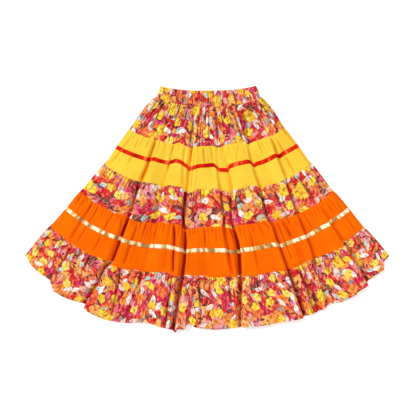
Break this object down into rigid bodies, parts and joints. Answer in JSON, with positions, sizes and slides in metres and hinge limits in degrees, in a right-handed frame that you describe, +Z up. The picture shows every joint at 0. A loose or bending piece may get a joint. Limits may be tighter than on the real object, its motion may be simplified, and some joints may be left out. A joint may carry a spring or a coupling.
{
  "type": "square dance skirt",
  "caption": "Full tiered square dance skirt laid flat: floral, yellow and orange gathered tiers below an elastic waistband, with red and gold ribbon trim.",
  "frame": {"origin": "centre of the bottom of the bounding box of the skirt as it lies flat", "axes": "+Y from the hem toward the waist, +X to the right seen from above, +Z up from the surface it lies on"},
  "size_m": [0.967, 0.6445, 0.0279],
  "materials": {
    "floral": "matte printed cotton, scattered autumn leaves and flowers in red, magenta, orange, yellow, cream and mint",
    "yellow": "matte plain-weave cotton, warm yellow",
    "orange": "matte plain-weave cotton, bright orange",
    "red_ribbon": "narrow satin ribbon, glossy along its length",
    "gold_ribbon": "narrow metallic gold ribbon, shiny"
  },
  "bodies": {
    "root": {"waistband_front": "floral", "tier_1_front": "floral", "tier_2_front": "yellow", "tier_3_front": "floral", "tier_4_front": "orange", "tier_5_front": "floral", "ribbon_red_front": "red_ribbon", "ribbon_gold_front": "gold_ribbon", "waistband_back": "floral", "tier_1_back": "floral", "tier_2_back": "yellow", "tier_3_back": "floral", "tier_4_back": "orange", "tier_5_back": "floral", "ribbon_red_back": "red_ribbon", "ribbon_gold_back": "gold_ribbon"}
  },
  "joints": []
}
